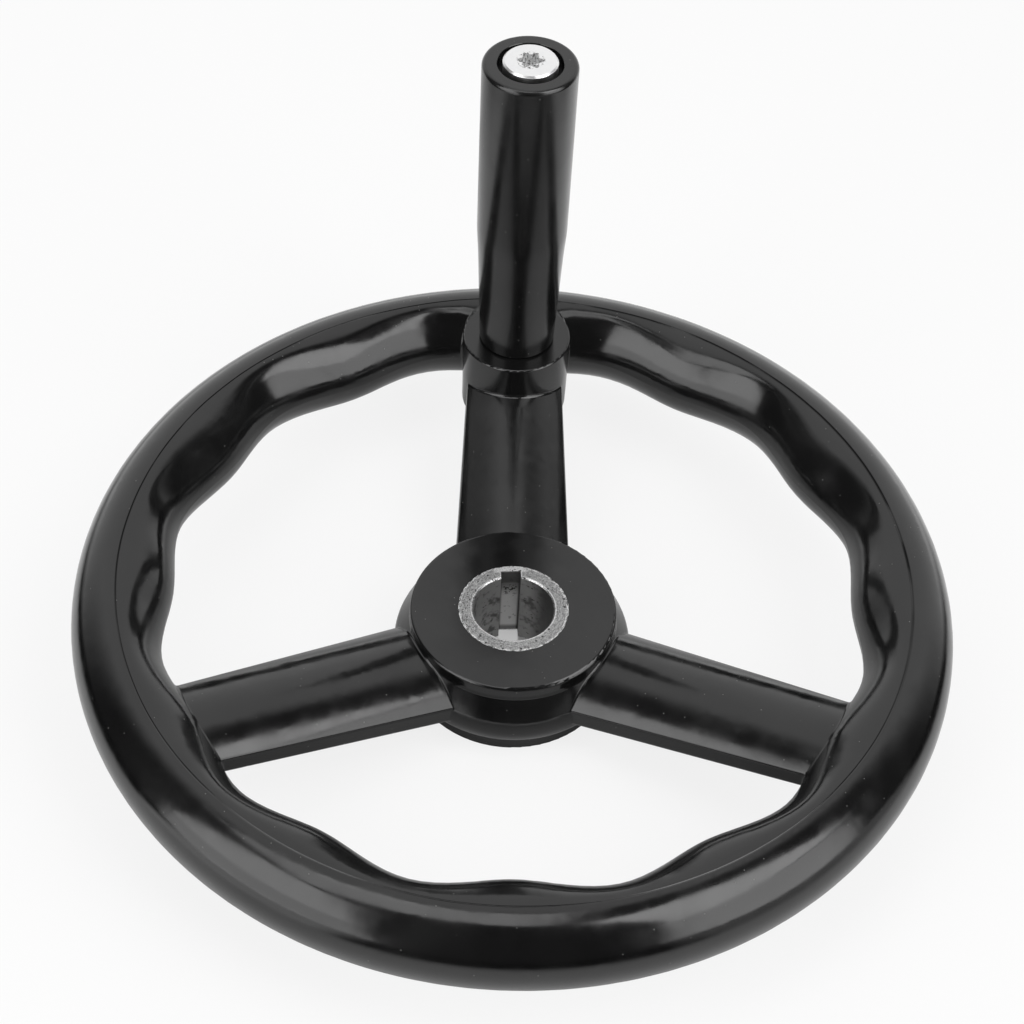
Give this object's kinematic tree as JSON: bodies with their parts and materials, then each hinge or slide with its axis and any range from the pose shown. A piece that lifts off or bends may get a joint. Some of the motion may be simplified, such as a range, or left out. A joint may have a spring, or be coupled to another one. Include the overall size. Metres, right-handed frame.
{
  "type": "machine handwheel",
  "caption": "Black moulded phenolic machine handwheel with wavy finger rim, dished spokes, keyed steel bore and a revolving side handle.",
  "frame": {"origin": "on the bore axis at the hub's back face, which the wheel rests on", "axes": "+Z along the bore towards the handle; +Y from the bore to the handle's spoke"},
  "size_m": [0.2032, 0.2032, 0.1211],
  "materials": {
    "wheel_phenolic": "glossy black phenolic moulding",
    "bush_steel": "turned steel, lightly pitted and stained",
    "insert_brass": "plain turned brass",
    "spindle_zinc": "bright zinc plate",
    "grip_phenolic": "glossy black phenolic"
  },
  "bodies": {
    "wheel": {"wheel_body": "wheel_phenolic", "hub_bush": "bush_steel", "handle_insert": "insert_brass", "handle_spindle": "spindle_zinc"},
    "grip": {"handle_grip": "grip_phenolic"}
  },
  "joints": [
    {"name": "grip_turn", "type": "hinge", "parent": "wheel", "child": "grip", "pos_m": [0, 0.0772, 0.0375], "axis": [0, 0, 1], "continuous": true}
  ]
}
